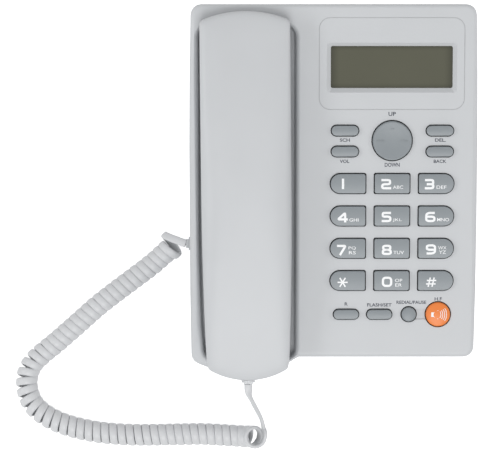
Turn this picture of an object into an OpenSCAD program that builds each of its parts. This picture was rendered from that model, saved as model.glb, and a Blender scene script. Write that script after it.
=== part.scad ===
// Corded desk telephone with a curly handset cord, all sizes in millimetres.
// Frame: +X right, +Y to the rear, +Z up, origin under the middle of the phone on the table.
// The sloping face has its own frame: u to the right, v up the slope, w out of the face.

/* [Base] */
// Width of the base at its middle
base_w = 164; // [160:1:180]
// Length of the face up its slope
base_len = 202; // [200:1:212]
// Height of the face's front edge above the table
front_h = 26; // [26:0.5:30]
// Slope of the face, in degrees
tilt = 6.5; // [5.5:0.5:8]
// How far the side walls bow outwards
side_bow = 0.9; // [0.4:0.1:1.5]
// Radius of the base's corners in plan
corner_r = 6; // [5:0.5:9]
// Rounding of the face's outer edge
edge_r = 2.5; // [1.5:0.1:2.8]
// Wall thickness of the covers
wall = 2.4; // [2:0.1:2.8]
// Thickness of the face
skin = 2.5; // [2:0.1:2.8]
// Height of the seam between top and bottom cover
seam_z = 11; // [10.5:0.1:11.3]
// How far the front lobe reaches past the front edge
lobe_out = 9.3; // [7:0.1:11]
// Radius of the front lobe's arc
lobe_r = 62; // [58:1:68]
// Centre of the front lobe from the base's middle
lobe_x = -52; // [-54:0.5:-50]

/* [Cradle] */
// Position of the trough's right wall
trough_right = -21.4; // [-22:0.1:-20.5]
// Position of the trough's left wall at the rear
trough_left = -76.7; // [-77.2:0.1:-76]
// How much the left wall runs inwards at the front
trough_taper = 2.8; // [1.5:0.1:3.5]
// Front apex of the trough, up the slope
trough_front = -5.3; // [-5.6:0.1:-4.8]
// How far the trough stops short of the handset's ear end
trough_short = 4; // [3:0.5:6]
// Depth of the trough between the wells
trough_deep = 8; // [7:0.1:8.5]
// Rounding of the trough's upper edge
trough_r = 3; // [2:0.1:3.2]
// Clearance between a handset cup and its well, all round
cup_gap = 2; // [1.5:0.1:2.4]
// Clearance between resting flat faces
rest_gap = 0.3; // [0.2:0.05:0.5]

/* [Handset] */
// Length of the handset
hs_len = 210; // [204:1:214]
// Half the width of the handset at the ear end
hs_half = 25.5; // [24.5:0.1:25.8]
// How much each side narrows towards the mouth end
hs_taper = 2.4; // [1:0.1:3]
// Height of the handset's back over the face, at its middle
back_mid = 22; // [20:0.5:25]
// Height of the handset's back over the face, at its ends
back_end = 12; // [11:0.5:13]
// Height of the grip's underside over the face
grip_under = -2.5; // [-3:0.1:-2]
// Wall thickness of the handset
hs_wall = 2.2; // [1.8:0.1:2.5]
// Depth of the ear cup below the face
ear_deep = 19; // [17:0.5:20]
// Depth of the mouth cup below the face
mouth_deep = 15; // [13:0.5:15.5]
// Small turn of the handset in its cradle, in degrees
hs_yaw = 0.55; // [0:0.05:0.8]
// Lift of the handset that its rest plunger follows
hook_travel = 4; // [3:0.5:5]

/* [Keys] */
// Width of a dial key cap
key_w = 19.8; // [18.5:0.1:20.2]
// Height of a dial key cap
key_h = 11; // [10:0.1:11.4]
// Distance between the dial key columns
key_pitch_u = 25.1; // [24.6:0.1:25.4]
// Distance between the dial key rows
key_pitch_v = 18.57; // [18:0.01:19]
// Distance of the keypad's middle column from the base's right side
key_edge = 48.5; // [48:0.1:49.5]
// Bottom dial row, up the slope
key_v = 44.3; // [43.5:0.1:45]
// Height of a key cap above the face
key_proud = 2; // [1.6:0.1:2.5]
// Gap between a key cap and its opening
key_gap = 0.6; // [0.4:0.05:0.7]
// Travel of a key
key_travel = 1.5; // [1:0.1:1.6]
// Diameter of the up/down rocker
rocker_d = 22.4; // [20:0.1:23]

/* [Display] */
// Width of the display bezel
bezel_w = 82; // [79:0.5:84]
// Height of the display bezel
bezel_h = 51.6; // [48:0.1:52]
// Width of the bezel beside the window
bezel_side = 6.5; // [6:0.1:7.5]
// Height of the visible window
window_h = 23.7; // [20:0.1:25]
// Thickness of the bezel
bezel_t = 3; // [2.8:0.1:3.4]

/* [Cord] */
// Outer diameter of the cord's coils
coil_d = 12.6; // [11:0.1:13]
// Diameter of the solid that stands for the flat cable
cable_d = 3.2; // [2.6:0.1:3.6]

/* [Hidden] */
$fn = 48;

plastic = [0.80, 0.81, 0.82];
key_grey = [0.62, 0.66, 0.68];
metal = [0.72, 0.72, 0.70];
board_green = [0.15, 0.38, 0.25];
dark = [0.16, 0.17, 0.17];

// Base derived values
base_depth = base_len * cos(tilt);
foot_h = 2;
floor_t = 2.2;
draft = 0.6;
seam_gap = 0.25;
floor_z = foot_h + floor_t;
hs_tip_v = -12;
hs_tip_u = -48.4;
// The origin lies midway between the handset's front tip and the base's rear edge
front_y = -(base_depth + hs_tip_v * cos(tilt) - back_end / 2 * sin(tilt)) / 2;
rear_y = front_y + base_depth;
side_x = base_w / 2;
key_u = side_x - key_edge;
trough_rear = hs_tip_v + hs_len - trough_short;
window_w = bezel_w - 2 * bezel_side;
trough_corner = 6;
trough_end_r = 62;

// Key stack under the face, as depths below it
flange_top = skin + 0.3;
flange_t = 1;
flange_out = 1.2;
cap_bottom = flange_top + flange_t;
dome_top = cap_bottom + 0.3;
sheet_top = dome_top + key_travel + 0.7;
sheet_bottom = sheet_top + 1.2;
board_t = 1.6;
board_bottom = sheet_bottom + board_t;
rocker_drop = 0.6;
small_w = 15.2;
small_h = 5.7;
recall_w = 14.1;
recall_h = 5.4;
redial_d = 8.3;
handsfree_d = 14;
side_key_u = 26.95;
side_key_v = 85.9;
side_key_pitch = 11.9;
rocker_v = 80.2;
function_v = -19.5;
bottom_row = [[-25.9, 0], [-6.9, 0], [10, 0], [26.7, 0]];

// Keypad board and its bosses
board_u = [key_u - 43, key_u + 43];
board_v = [16, 184];
boss_at = [[key_u - 39.8, 36], [key_u + 39.8, 36], [key_u - 39.8, 138.5], [key_u + 39.8, 138.5]];
boss_r = 2.2;
bezel_u = key_u - 0.5;
bezel_v = 168.2;
window_v = 166.2;

// Bottom cover features, in plan
foot_at = [[60, -84], [-68, -84], [68, 80], [-68, 92]];
foot_r = 6;
foot_sink = 0.8;
screw_at = [[74, -84], [74, 97], [-66, 70], [-34, -38]];
screw_r = 1.45;
screw_fit = 0.05;
screw_boss_r = 3.5;
keyhole_x = 0;
keyhole_y = [-25, 75];
keyhole_r = 4;
bay = [-13, -88, 52.4, 36];
bay_top = 15.6;
bay_wall = 1.6;
cell_r = 5.2;
speaker_at = [42, -22];
speaker_r = 25;
main_z = 13;
main_x = [-12, 68];
main_y = [9, 100];
socket_y = -29;
socket_z = 17;
socket_half = 5;
plunger_s = hs_len - 72;
switch_at = [hs_tip_u - plunger_s * sin(hs_yaw), front_y + (hs_tip_v + plunger_s) * cos(tilt) + 20 * sin(tilt)];
ballast_y = [-22, switch_at[1] - 11.4];
ballast_at = [-50, (ballast_y[0] + ballast_y[1]) / 2];
switch_z = front_h + (switch_at[1] - front_y) * tan(tilt) - 27.5;
line_x = 34;
ringer_y = 40;
ringer_z = main_z + board_t + 3.2;
mic_x = 48;
mic_z = 15;
door_t = 1.4;
door_lap = 2.7;

// Handset derived values
back_r = (pow(hs_len / 2, 2) + pow(back_mid - back_end, 2)) / (2 * (back_mid - back_end));
mouth_arc_r = 42;
ear_arc_r = 64;
hs_corner = 3.5;
ear_s = hs_len - 36;
ear_d = 40;
mouth_s = 36;
mouth_d = 38;
cup_hole_r = 15;
receiver_r = 13.5;
cup_draft = 2;
cup_round = 3;
seam_mid = 10.5;
seam_tip = 6.3;
seam_ear = 5.5;
jack_w = 6.9;
end_rise = 3.2;
hs_screw_s = [66, ear_s - 30];

// Route of the curly part on the table and of its two straight leads
coil_z = coil_d / 2 + 0.15;
coil_route = [[-93, -31, coil_z + 1.5], [-99, -36.5, coil_z], [-106, -42.5, coil_z], [-120, -53, coil_z],
    [-135, -64.5, coil_z], [-148, -76, coil_z], [-160, -86.5, coil_z], [-168, -93, coil_z],
    [-174, -99, coil_z], [-177, -106, coil_z], [-177, -114, coil_z], [-174, -122, coil_z],
    [-168, -128, coil_z], [-159, -133, coil_z], [-148, -136.5, coil_z], [-135, -139, coil_z],
    [-120, -140.3, coil_z], [-106, -140.5, coil_z], [-90, -140.2, coil_z], [-75, -140, coil_z],
    [-60, -140.8, coil_z], [-50, -141.5, coil_z], [-43, -142, coil_z]];
base_lead_route = [[-side_x - 2.45, socket_y, socket_z], [-85.2, socket_y, socket_z], [-87, -29.1, 16],
    [-89.5, -29.4, 13.5], [-91, -29.9, 10.8]];
handset_lead_route = [[-42.6, -142, 6.6], [-38.6, -141.2, 7], [-37.6, -138.5, 7.4], [-39.4, -134.5, 9],
    [-42, -130, 12.5], [-44.6, -125, 18.5], [-46.6, -120.5, 24.4], [-47.9, -116.5, 28.6], [-48.3, -112.8, 30.6],
    [-48.4, -109.4, 31.2]];

// ---------- frames ----------

module on_face() {
    translate([0, front_y, front_h]) rotate([tilt, 0, 0]) children();
}

// Handset frame: s runs up the handset from its mouth end, w out of the face
module on_handset() {
    on_face() translate([hs_tip_u, hs_tip_v, 0]) rotate([0, 0, hs_yaw]) children();
}

function face_z(y) = front_h + (y - front_y) * tan(tilt);

// ---------- points and lofts ----------

function arc_pts(cx, cy, r, a0, a1, n) =
    [for (i = [0 : n]) let (a = a0 + (a1 - a0) * i / n) [cx + r * cos(a), cy + r * sin(a)]];

function inner(pts) = [for (i = [1 : len(pts) - 2]) pts[i]];

// Closed end with its apex at y = 0: two corners of radius r on an arc of radius R, inset by i
function end_pts(x0, x1, R, r, i, n) =
    let (half = (x1 - x0) / 2 - r, cx = (x0 + x1) / 2, dy = sqrt(pow(R - r, 2) - half * half),
        a = asin(half / (R - r)))
    concat(arc_pts(x0 + r, R - dy, r - i, 180, 270 - a, n),
        inner(arc_pts(cx, R, R - i, 270 - a, 270 + a, 2 * n + 2)),
        arc_pts(x1 - r, R - dy, r - i, 270 + a, 360, n));

function shifted(pts, dy) = [for (p = pts) [p[0], p[1] + dy]];

function turned(pts, dy) = [for (p = pts) [-p[0], dy - p[1]]];

function rrect_pts(w, l, r, n) = concat(arc_pts(w / 2 - r, l / 2 - r, r, 0, 90, n),
    arc_pts(r - w / 2, l / 2 - r, r, 90, 180, n), arc_pts(r - w / 2, r - l / 2, r, 180, 270, n),
    arc_pts(w / 2 - r, r - l / 2, r, 270, 360, n));

// Side faces between rings of equal length
function side_faces(n, m) = [for (k = [0 : m - 2], i = [0 : n - 1], t = [0, 1])
    let (j = (i + 1) % n, a = k * n, b = a + n)
    t == 0 ? [a + i, b + i, b + j] : [a + i, b + j, a + j]];

// Solid through rings that end in flat caps
module loft(rings) {
    n = len(rings[0]);
    m = len(rings);
    polyhedron(points = [for (r = rings) each r],
        faces = concat([[for (i = [0 : n - 1]) i]], side_faces(n, m),
            [[for (i = [n - 1 : -1 : 0]) (m - 1) * n + i]]));
}

// Solid through rings that are symmetric in x: the caps are strips between mirrored points
module strip_loft(rings) {
    n = len(rings[0]);
    m = len(rings);
    top = (m - 1) * n;
    polyhedron(points = [for (r = rings) each r],
        faces = concat([for (j = [0 : n / 2 - 2]) [j, j + 1, n - 2 - j, n - 1 - j]],
            side_faces(n, m),
            [for (j = [0 : n / 2 - 2]) [top + n - 1 - j, top + n - 2 - j, top + j + 1, top + j]]));
}

function unit(a) = a / norm(a);

function tangent(path, i) = unit(path[min(i + 1, len(path) - 1)] - path[max(i - 1, 0)]);

// Tube along a route, as one skin of rings with n sides
module tube(path, d, n) {
    rings = [for (i = [0 : len(path) - 1])
        let (t = tangent(path, i), s = unit(cross(t, [0.05, 0.05, 1])), u = cross(s, t))
        [for (k = [0 : n - 1]) let (a = 360 * (k + 0.5) / n) path[i] + d / 2 * (cos(a) * s + sin(a) * u)]];
    loft(rings);
}

// ---------- base covers ----------

function bow_x(d) = side_x - side_bow * pow((d - base_depth / 2) / (base_depth / 2), 2);

// Outline of the base in plan, inset by i, with the front edge on y = 0
function base_pts(i) =
    let (cx = side_x - side_bow - corner_r, lobe_c = lobe_r - lobe_out, gap = lobe_r - corner_r,
        cy = lobe_c - sqrt(gap * gap - pow(lobe_x + cx, 2)), a = atan2(cy - lobe_c, -cx - lobe_x) + 360,
        b = 270 + acos((lobe_c - i) / (lobe_r - i)))
    concat(inner(arc_pts(lobe_x, lobe_c, lobe_r - i, a, b, 11)),
        [[lobe_x + (lobe_r - i) * sin(b - 270), i]],
        arc_pts(cx, corner_r, corner_r - i, 270, 360, 4),
        [for (k = [1 : 4]) let (d = base_depth * k / 5) [bow_x(d) - i, d]],
        arc_pts(cx, base_depth - corner_r, corner_r - i, 0, 90, 4),
        arc_pts(-cx, base_depth - corner_r, corner_r - i, 90, 180, 4),
        [for (k = [4 : -1 : 1]) let (d = base_depth * k / 5) [i - bow_x(d), d]],
        arc_pts(-cx, cy, corner_r - i, 180, a, 3));

function flat_ring(i, z) = [for (p = base_pts(i)) [p[0], front_y + p[1], z]];

function face_ring(i, drop) = [for (p = base_pts(i)) [p[0], front_y + p[1], front_h + p[1] * tan(tilt) - drop]];

// Level slab that trims the covers' lofts to true planes
module slab(z0, z1) {
    translate([-base_w, -base_len, z0]) cube([2 * base_w, 2 * base_len, z1 - z0]);
}

// Everything under a plane that lies this deep below the face
module below_face(deep) {
    on_face() translate([-base_w, -base_len / 4, -deep - base_len]) cube([2 * base_w, 1.5 * base_len, base_len]);
}

module base_form() {
    intersection() {
        loft(concat([flat_ring(draft, seam_z - 1)],
            [for (a = [0 : 22.5 : 67.5]) face_ring(edge_r * (1 - cos(a)), edge_r * (1 - sin(a)))],
            [face_ring(edge_r * 1.19, -edge_r * 0.038)]));
        slab(seam_z, base_len);
        below_face(0);
    }
}

// Outline of the trough in the face frame, widened by e
function trough_pts(e) =
    let (front_left = trough_left + trough_taper, front_r = lobe_r - 4)
    concat(shifted(end_pts(front_left, trough_right, front_r, trough_corner, -e, 3), trough_front),
        turned(end_pts(-trough_right, -trough_left, trough_end_r, trough_corner, -e, 3), trough_rear),
        [for (k = [3 : -1 : 1]) [trough_left - e + trough_taper * pow(1 - k / 4, 2), trough_rear * (k - 0.3) / 7.4]]);

function trough_ring(e, w) = [for (p = trough_pts(e)) [p[0], p[1], w]];

module trough_pocket() {
    loft(concat([trough_ring(-3, -trough_deep), trough_ring(-0.9, 0.9 - trough_deep), trough_ring(0, 3 - trough_deep)],
        [for (a = [0 : 30 : 60]) trough_ring(trough_r * (1 - cos(a)), trough_r * (sin(a) - 1))],
        [trough_ring(trough_r * 1.2, trough_r * 0.12)]));
}

// Round cup turned from its profile: d across at the top, narrower by cup_draft at the bottom
module cup_form(d, top, bottom) {
    r = cup_round;
    rotate_extrude() polygon(concat([[0, top], [0, bottom]],
        arc_pts((d - cup_draft) / 2 - r, bottom + r, r, 270, 354, 5), [[d / 2, top]]));
}

module ear_place() {
    translate([0, ear_s, 0]) children();
}

module mouth_place() {
    translate([0, mouth_s, 0]) children();
}

// Moulded wells for the two handset cups
module wells() {
    top = 1.5 - trough_deep;
    on_handset() {
        ear_place() cup_form(ear_d + 2 * cup_gap, top, -ear_deep - rest_gap);
        mouth_place() cup_form(mouth_d + 2 * cup_gap, top, -mouth_deep - rest_gap);
    }
}

// Walls and floors round the trough and the wells
module cradle_walls() {
    reach = cup_gap + wall;
    on_face() translate([0, 0, -trough_deep - wall]) linear_extrude(trough_deep + wall - skin / 2)
        polygon(trough_pts(wall));
    on_handset() {
        ear_place() translate([0, 0, -ear_deep - rest_gap - wall])
            cylinder(r = ear_d / 2 + reach, h = ear_deep - trough_deep + wall / 2);
        mouth_place() translate([0, 0, -mouth_deep - rest_gap - wall])
            cylinder(r = mouth_d / 2 + reach, h = mouth_deep - trough_deep + wall / 2);
    }
}

module plunger_place() {
    on_handset() translate([0, plunger_s, 0]) children();
}

module base_top_cover() color(plastic) {
    difference() {
        union() {
            difference() {
                base_form();
                intersection() {
                    translate([0, front_y, seam_z - 1]) linear_extrude(base_len) polygon(base_pts(wall + draft));
                    below_face(skin);
                }
            }
            cradle_walls();
            // Ledge that carries the display bezel
            on_face() translate([bezel_u, bezel_v, -bezel_t - 2]) linear_extrude(bezel_t + 2 - skin / 2)
                difference() {
                    square([bezel_w + 5, bezel_h + 5], center = true);
                    square([bezel_w - 5, bezel_h - 8], center = true);
                }
            // Bosses for the keypad board and for the screws of the bottom cover
            for (p = boss_at) on_face() translate([p[0], p[1], -sheet_bottom])
                cylinder(r = boss_r, h = sheet_bottom - skin / 2);
            for (k = [0 : 3]) translate([screw_at[k][0], screw_at[k][1], seam_z])
                cylinder(r = screw_boss_r, h = boss_top(k) - seam_z);
        }
        on_face() trough_pocket();
        wells();
        // Opening of the bezel
        on_face() translate([bezel_u, bezel_v, -bezel_t]) linear_extrude(bezel_t + 1)
            polygon(rrect_pts(bezel_w + 0.8, bezel_h + 0.8, 6.4, 6));
        key_openings();
        // Slot of the hook plunger
        plunger_place() translate([-6.4, -3.4, -trough_deep - wall - 1]) cube([12.8, 6.8, wall + 2]);
        // Bores for the board screws and the cover screws
        for (p = boss_at) on_face() translate([p[0], p[1], -sheet_bottom - 0.01])
            cylinder(r = 0.9 + screw_fit, h = 4);
        for (k = [0 : 3]) translate([screw_at[k][0], screw_at[k][1], seam_z - 0.01])
            cylinder(r = screw_r + screw_fit, h = 8);
        // Openings of the sockets, the ringer knob and the microphone
        translate([-side_x - 1, socket_y - 4.6, socket_z - 4.2]) cube([wall + 2.6, 9.2, 8.4]);
        translate([line_x - 6.4, rear_y - wall - 2, main_z + board_t + 2.4]) cube([12.8, wall + 4, 9.4]);
        translate([side_x - wall - 2, ringer_y - 4.5, ringer_z - 1.8]) cube([wall + 4, 9, 3.6]);
        translate([mic_x, front_y - 2, mic_z]) rotate([-90, 0, 0]) cylinder(r = 1, h = wall + 4);
    }
}

// Height of each screw boss: the first two end in the face, the others in the trough's floors
function boss_top(k) = let (y = screw_at[k][1])
    k < 2 ? face_z(y) - skin / 2 : face_z(y) - (k == 2 ? ear_deep : trough_deep) - rest_gap - wall / 2;

module base_bottom_cover() color(plastic) {
    difference() {
        union() {
            difference() {
                intersection() {
                    loft([flat_ring(draft + 3.4, foot_h - 1), flat_ring(draft + 1.1, foot_h + 1.3),
                        flat_ring(draft + seam_gap, seam_z + 1)]);
                    slab(foot_h, seam_z - seam_gap);
                }
                translate([0, front_y, floor_z]) linear_extrude(seam_z) polygon(base_pts(wall + draft + seam_gap));
            }
            for (p = screw_at) translate([p[0], p[1], floor_z - 0.5])
                cylinder(r = screw_boss_r, h = seam_z - floor_z + 0.5);
            for (x = [main_x[0] + 4, main_x[1] - 4], y = [main_y[0] + 4, main_y[1] - 4])
                translate([x, y, floor_z - 0.5]) cylinder(r = 2.5, h = main_z - floor_z + 0.5);
            // Battery bay, open downwards
            translate([bay[0] - bay_wall, bay[1] - bay_wall, foot_h])
                cube([bay[2] + 2 * bay_wall, bay[3] + 2 * bay_wall, bay_top + bay_wall - foot_h]);
            // Tower of the hook switch
            translate([switch_at[0] - 8, switch_at[1] - 6, floor_z - 0.5]) cube([16, 12, switch_z - floor_z + 0.5]);
            // Stand of the handset socket
            translate([-79 + 0.6, socket_y - 6, floor_z - 0.5]) cube([13, 12, socket_z - socket_half - floor_z + 0.5]);
            // Ring that holds the loudspeaker, and pegs of the ballast plate
            translate([speaker_at[0], speaker_at[1], floor_z - 0.5]) difference() {
                cylinder(r = speaker_r + 2, h = 5.5);
                translate([0, 0, -1]) cylinder(r = speaker_r + 0.3, h = 8);
            }
            for (s = [-1, 1]) translate([ballast_at[0] + s * 12, ballast_at[1], floor_z - 0.5])
                cylinder(r = 2, h = 5);
            // Holder of the microphone
            translate([mic_x - 6, front_y + wall + draft + seam_gap, floor_z - 0.5])
                cube([12, 8, mic_z - 4.9 - floor_z + 0.5]);
        }
        translate([bay[0], bay[1], foot_h - 1]) cube([bay[2], bay[3], bay_top - foot_h + 1]);
        // Rebate of the battery door
        translate([bay[0] - door_lap - rest_gap, bay[1] - door_lap - rest_gap, foot_h - 1])
            cube([bay[2] + 2 * (door_lap + rest_gap), bay[3] + 2 * (door_lap + rest_gap), 1 + door_t]);
        for (p = foot_at) translate([p[0], p[1], foot_h - 1]) cylinder(r = foot_r + 0.1, h = 1 + foot_sink);
        for (p = screw_at) translate([p[0], p[1], foot_h - 1]) {
            cylinder(r = screw_r + 0.3, h = seam_z);
            cylinder(r = 3, h = 1 + 2.6);
        }
        for (x = [main_x[0] + 4, main_x[1] - 4], y = [main_y[0] + 4, main_y[1] - 4])
            translate([x, y, floor_z + 1]) cylinder(r = 1, h = main_z);
        // Keyholes for hanging the phone on a wall
        for (y = keyhole_y) translate([keyhole_x, y, foot_h - 1]) {
            cylinder(r = keyhole_r, h = 4);
            translate([-2.1, 0, 0]) cube([4.2, 9, 4]);
            translate([0, 9, 0]) cylinder(r = 2.1, h = 4);
        }
        // Sound slots under the loudspeaker
        for (k = [-3 : 3]) let (half = sqrt(pow(speaker_r - 5, 2) - pow(5.4 * k, 2)))
            translate([speaker_at[0] - half, speaker_at[1] + 5.4 * k - 1.1, foot_h - 1]) cube([2 * half, 2.2, 4]);
    }
}

// ---------- keys ----------

// Outline of a dial key: side -1 has its left end half round, 1 its right end, 0 neither
module key_shape(w, h, side) {
    r = 1.2;
    x0 = side == -1 ? h / 2 - w / 2 : r - w / 2;
    x1 = side == 1 ? w / 2 - h / 2 : w / 2 - r;
    translate([x0, -h / 2]) square([x1 - x0, h]);
    translate([-w / 2 + (side == -1 ? h / 2 : 0), r - h / 2])
        square([w - (side == 0 ? 0 : h / 2), h - 2 * r]);
    if (side == -1) translate([x0, 0]) circle(r = h / 2);
    if (side == 1) translate([x1, 0]) circle(r = h / 2);
    for (y = [r - h / 2, h / 2 - r]) {
        if (side != -1) translate([x0, y]) circle(r = r);
        if (side != 1) translate([x1, y]) circle(r = r);
    }
}

module stadium(w, h) {
    square([w - h, h], center = true);
    for (s = [-1, 1]) translate([s * (w - h) / 2, 0]) circle(r = h / 2);
}

// Dial keys: column and row, counted from the lower left
module at_dial(col, row) {
    on_face() translate([key_u + (col - 1) * key_pitch_u, key_v + row * key_pitch_v, 0]) children();
}

// Small keys beside the rocker: side -1 or 1, upper or lower
module at_side(side, upper) {
    on_face() translate([key_u + side * side_key_u, key_v + side_key_v - (1 - upper) * side_key_pitch, 0]) children();
}

module at_bottom(k) {
    on_face() translate([key_u + bottom_row[k][0], key_v + function_v, 0]) children();
}

module at_rocker() {
    on_face() translate([key_u - 0.1, key_v + rocker_v, 0]) children();
}

module key_openings() {
    deep = skin + 1;
    for (col = [0 : 2], row = [0 : 3]) at_dial(col, row) translate([0, 0, -deep]) linear_extrude(2 * deep)
        key_shape(key_w + 2 * key_gap, key_h + 2 * key_gap, col - 1);
    for (side = [-1, 1], upper = [0, 1]) at_side(side, upper) translate([0, 0, -deep]) linear_extrude(2 * deep)
        stadium(small_w + 2 * key_gap, small_h + 2 * key_gap);
    for (k = [0, 1]) at_bottom(k) translate([0, 0, -deep]) linear_extrude(2 * deep)
        stadium(recall_w + 2 * key_gap, recall_h + 2 * key_gap);
    at_bottom(2) translate([0, 0, -deep]) cylinder(r = redial_d / 2 + key_gap, h = 2 * deep);
    at_bottom(3) translate([0, 0, -deep]) cylinder(r = handsfree_d / 2 + key_gap, h = 2 * deep);
    at_rocker() translate([0, 0, -deep]) cylinder(r = rocker_d / 2 + key_gap, h = 2 * deep);
    // Shallow dip that links the redial and hands-free keys
    at_bottom(2) translate([2, -3, -0.7]) cube([10, 6, 2]);
}

// Key cap with a crowned top and a flange that the face holds back; children are its outline
module key_cap(w, h, crown) {
    intersection() {
        translate([0, 0, -cap_bottom]) linear_extrude(cap_bottom + key_proud) children();
        translate([-w, 0, key_proud - crown]) rotate([0, 90, 0]) cylinder(r = crown, h = 2 * w);
    }
    translate([0, 0, -cap_bottom]) linear_extrude(flange_t) square([w + 2 * flange_out, h + 2 * flange_out], center = true);
}

module dial_key(col, row) {
    color(key_grey) at_dial(col, row) key_cap(key_w, key_h, 40) key_shape(key_w, key_h, col - 1);
}

module small_key(side, upper) {
    color(key_grey) at_side(side, upper) key_cap(small_w, small_h, 15) stadium(small_w, small_h);
}

module recall_key(k) {
    color(key_grey) at_bottom(k) key_cap(recall_w, recall_h, 15) stadium(recall_w, recall_h);
}

// Round key turned from its profile: the top rises by crown from the edge to the middle
module round_key(d, crown) {
    rotate_extrude() polygon(concat([[0, -cap_bottom], [d / 2 + flange_out, -cap_bottom],
        [d / 2 + flange_out, flange_t - cap_bottom], [d / 2, flange_t - cap_bottom], [d / 2, key_proud - crown - 0.5]],
        [for (k = [0 : 5]) let (t = 1 - k / 5) [(d / 2 - 0.4) * t, key_proud - crown * t * t]]));
}

module key_redial() {
    color(key_grey) at_bottom(2) round_key(redial_d, 0.4);
}

module key_handsfree() {
    color([0.92, 0.50, 0.22]) at_bottom(3) round_key(handsfree_d, 0.8);
}

// Round plate that tips up and down on a ball-ended stem
module nav_rocker() {
    low = -cap_bottom - rocker_drop;
    tip = rest_gap - sheet_bottom;
    edge = rocker_d / 2;
    color(key_grey) at_rocker() rotate_extrude() polygon(concat(
        [for (k = [0 : 4]) let (a = 90 * k / 4) [2 * sin(a), tip + 2 - 2 * cos(a)]],
        [[2, low], [edge + flange_out, low], [edge + flange_out, low + flange_t], [edge, low + flange_t],
            [edge, key_proud - 0.5], [edge - 0.5, key_proud]],
        [for (k = [1 : 5]) let (t = 1 - k / 5) [(edge - 2) * t, key_proud - 0.7 + 0.6 * t * t]]));
}

// ---------- keypad electronics and display ----------

module dome(r) {
    translate([0, 0, -sheet_top]) cylinder(r1 = r + 0.8, r2 = r, h = sheet_top - dome_top);
}

module keypad_membrane() color([0.35, 0.36, 0.38]) {
    difference() {
        union() {
            on_face() translate([key_u - 36.8, 19, -sheet_bottom])
                cube([73.6, key_v + side_key_v + 5 - 19, sheet_bottom - sheet_top]);
            for (col = [0 : 2], row = [0 : 3]) at_dial(col, row) dome(3.2);
            for (side = [-1, 1], upper = [0, 1]) at_side(side, upper) dome(2);
            for (k = [0 : 2]) at_bottom(k) dome(2);
            at_bottom(3) dome(3.2);
            for (s = [-1, 1]) at_rocker() translate([0, 7 * s, -sheet_top])
                cylinder(r1 = 3.2, r2 = 2.4, h = sheet_top - dome_top - rocker_drop);
        }
        at_rocker() translate([0, 0, -sheet_bottom - 1]) cylinder(r = 3, h = 4);
    }
}

module keypad_board() color(board_green) {
    on_face() difference() {
        translate([board_u[0], board_v[0], -board_bottom])
            cube([board_u[1] - board_u[0], board_v[1] - board_v[0], board_t]);
        for (p = boss_at) translate([p[0], p[1], -board_bottom - 1]) cylinder(r = 1.1, h = board_t + 2);
    }
}

module keypad_board_screws() color(metal) {
    for (p = boss_at) on_face() translate([p[0], p[1], -board_bottom]) {
        cylinder(r = 0.9, h = board_t + 3);
        translate([0, 0, -1.4]) cylinder(r = 2, h = 1.4);
    }
}

module display_bezel() color(plastic) {
    window_off = window_v - bezel_v;
    on_face() translate([bezel_u, bezel_v, 0]) difference() {
        translate([0, 0, -bezel_t]) linear_extrude(bezel_t) polygon(rrect_pts(bezel_w, bezel_h, 6, 6));
        // Sloping sides down to the window
        translate([0, window_off, 0]) hull() {
            translate([0, -0.3, 0.1]) linear_extrude(0.01) polygon(rrect_pts(window_w + 5, window_h + 4.8, 1.5, 4));
            translate([0, 0, -bezel_t + 1]) linear_extrude(0.01) polygon(rrect_pts(window_w, window_h, 1, 4));
        }
        translate([0, window_off, -bezel_t - 1]) linear_extrude(3) square([window_w - 1, window_h - 1], center = true);
        translate([0, window_off, -bezel_t - 1]) linear_extrude(2) square([window_w + 2.6, window_h + 2.6], center = true);
    }
}

module display_window() color([0.38, 0.38, 0.31]) {
    on_face() translate([bezel_u - window_w / 2 - 1, window_v - window_h / 2 - 1, -bezel_t])
        cube([window_w + 2, window_h + 2, 1]);
}

module lcd_module() color([0.45, 0.48, 0.38]) {
    on_face() translate([bezel_u - window_w / 2 - 2.5, window_v - window_h / 2 - 3, -sheet_bottom])
        cube([window_w + 5, window_h + 6, sheet_bottom - bezel_t]);
}

module main_board() color(board_green) {
    difference() {
        translate([main_x[0], main_y[0], main_z]) cube([main_x[1] - main_x[0], main_y[1] - main_y[0], board_t]);
        for (x = [main_x[0] + 4, main_x[1] - 4], y = [main_y[0] + 4, main_y[1] - 4])
            translate([x, y, main_z - 1]) cylinder(r = 1.1, h = board_t + 2);
    }
    // Transformer, chips and capacitors on the board
    translate([0, 60, main_z + board_t]) cube([15, 13, 10]);
    translate([22, 30, main_z + board_t]) cube([10, 14, 2.5]);
    translate([44, 24, main_z + board_t]) cube([8, 8, 2]);
    for (p = [[24, 60], [36, 56], [52, 62]]) translate([p[0], p[1], main_z + board_t]) cylinder(r = 3, h = 9);
}

// Flat cable from the main board up to the keypad board
module ribbon_cable() color([0.75, 0.75, 0.72]) {
    y = 34;
    top = face_z(y - 3) - board_bottom / cos(tilt) - 0.1;
    translate([2, y, main_z + board_t]) cube([14, 3, 3.5]);
    translate([3, y + 1.1, main_z + board_t + 3]) cube([12, 0.8, top - main_z - board_t - 3]);
}

// ---------- hook ----------

// The tall block the handset pushes down; its foot widens under the trough's floor
module hook_plunger() color(plastic) plunger_place() {
    translate([-6, -3, -19.2]) cube([12, 6, 19.2 + grip_under - rest_gap]);
    translate([-8, -4.5, -trough_deep - wall - hook_travel - 0.3 - 1.5]) cube([16, 9, 1.5]);
}

module hook_switch() color(dark) {
    translate([switch_at[0] - 7, switch_at[1] - 5, switch_z]) cube([14, 10, 6.2]);
    translate([switch_at[0] - 1.5, switch_at[1] - 1, switch_z + 6]) cube([3, 2, 1]);
}

// ---------- inside the bottom cover ----------

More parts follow.
